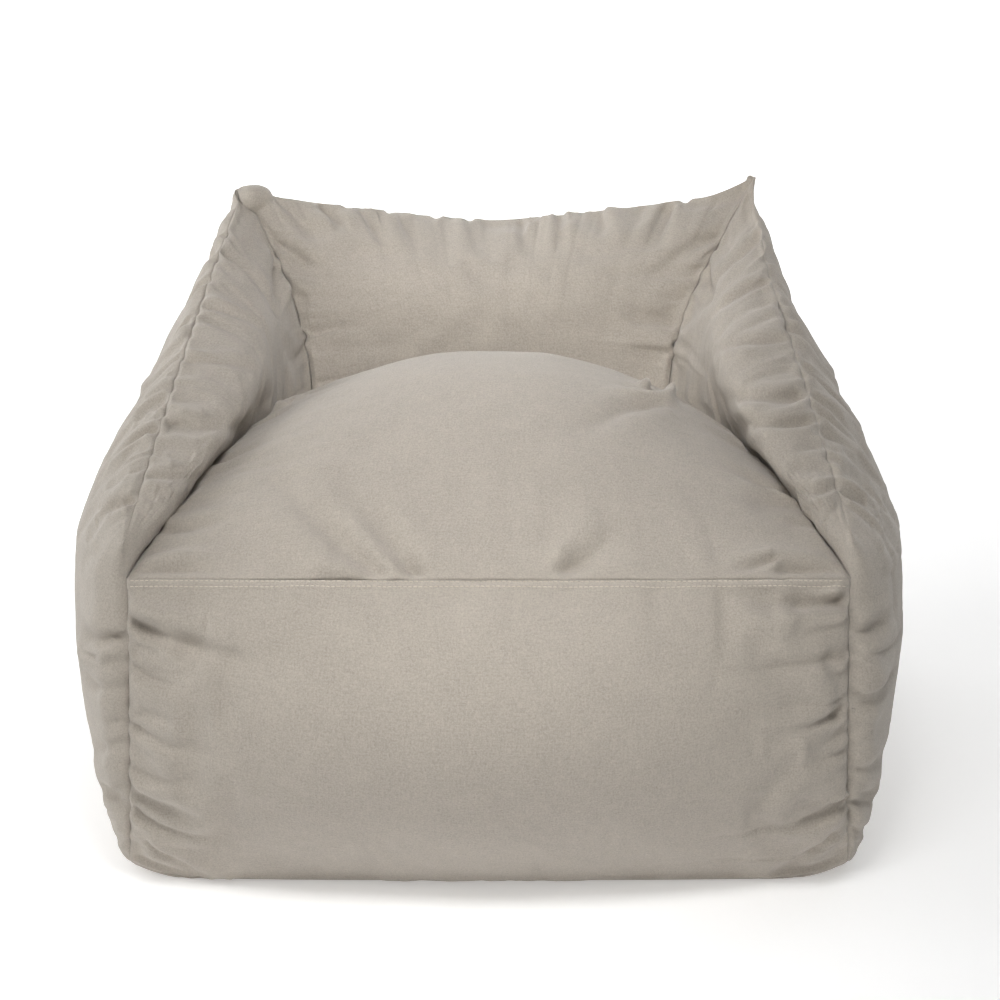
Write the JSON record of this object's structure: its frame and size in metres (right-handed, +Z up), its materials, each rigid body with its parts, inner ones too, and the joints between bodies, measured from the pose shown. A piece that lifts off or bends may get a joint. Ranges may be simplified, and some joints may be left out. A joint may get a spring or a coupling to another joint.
{
  "type": "bean bag chair",
  "caption": "Low bean bag armchair: boxy sewn fabric cover with domed seat, sloping arms and back, zipped inner liner and loose bead fill.",
  "frame": {"origin": "on the floor, under the middle of the whole object's box", "axes": "+X to the right of someone who stands in front of the chair, -Y out of the front, +Z up"},
  "size_m": [0.8944, 0.8478, 0.624],
  "materials": {
    "cover_fabric": "matt woven cotton canvas with a fine suede-like nap",
    "topstitch_thread": "matt pale cotton thread",
    "seam_thread": "matt cotton thread",
    "zip_tape": "woven polyester tape",
    "zip_coil": "satin nylon",
    "zip_metal": "satin lacquered zinc",
    "liner_fabric": "matt white non-woven polyester",
    "liner_thread": "matt white thread",
    "liner_zip_tape": "woven polyester tape",
    "liner_zip_coil": "satin nylon",
    "beads": "matt expanded polystyrene"
  },
  "bodies": {
    "bag": {"front_panel": "cover_fabric", "seat_panel": "cover_fabric", "backrest_panel": "cover_fabric", "left_arm_panel": "cover_fabric", "right_arm_panel": "cover_fabric", "left_side_panel": "cover_fabric", "right_side_panel": "cover_fabric", "rear_panel": "cover_fabric", "rear_zip_band": "cover_fabric", "base_panel": "cover_fabric", "front_topstitch_upper": "topstitch_thread", "front_topstitch_lower": "topstitch_thread", "seat_back_seam_thread": "seam_thread", "back_top_seam_thread": "seam_thread", "left_front_seam_thread": "seam_thread", "right_front_seam_thread": "seam_thread", "left_seat_seam_thread": "seam_thread", "right_seat_seam_thread": "seam_thread", "left_back_seam_thread": "seam_thread", "right_back_seam_thread": "seam_thread", "left_arm_top_seam_thread": "seam_thread", "right_arm_top_seam_thread": "seam_thread", "left_rear_seam_thread": "seam_thread", "right_rear_seam_thread": "seam_thread", "base_seam_thread": "seam_thread", "cover_zip_upper_tape": "zip_tape", "cover_zip_lower_tape": "zip_tape", "cover_zip_upper_coil": "zip_coil", "cover_zip_lower_coil": "zip_coil", "cover_zip_top_stops": "zip_coil", "cover_zip_bottom_stop": "zip_coil", "liner_bag": "liner_fabric", "liner_base": "liner_fabric", "liner_rear_band": "liner_fabric", "liner_seam_threads": "liner_thread", "liner_zip_upper_tape": "liner_zip_tape", "liner_zip_lower_tape": "liner_zip_tape", "liner_zip_upper_coil": "liner_zip_coil", "liner_zip_lower_coil": "liner_zip_coil", "liner_zip_stops": "liner_zip_coil", "bead_fill": "beads"},
    "cover_zip_slider": {"cover_zip_slider": "zip_metal"},
    "cover_zip_pull": {"cover_zip_pull": "zip_metal"},
    "liner_zip_slider": {"liner_zip_slider": "zip_metal"}
  },
  "joints": [
    {"name": "cover_zip_slide", "type": "slide", "parent": "bag", "child": "cover_zip_slider", "axis": [1, 0, 0], "range_m": [-0.47, 0], "deforming": ["cover_zip_upper_coil", "cover_zip_lower_coil"]},
    {"name": "cover_zip_pull_swing", "type": "hinge", "parent": "cover_zip_slider", "child": "cover_zip_pull", "pos_m": [0.24, 0.3768, 0.086], "axis": [0, 0, -1], "range_deg": [0, 165]},
    {"name": "liner_zip_slide", "type": "slide", "parent": "bag", "child": "liner_zip_slider", "axis": [1, 0, 0], "range_m": [-0.47, 0], "deforming": ["liner_zip_upper_coil", "liner_zip_lower_coil"]}
  ]
}
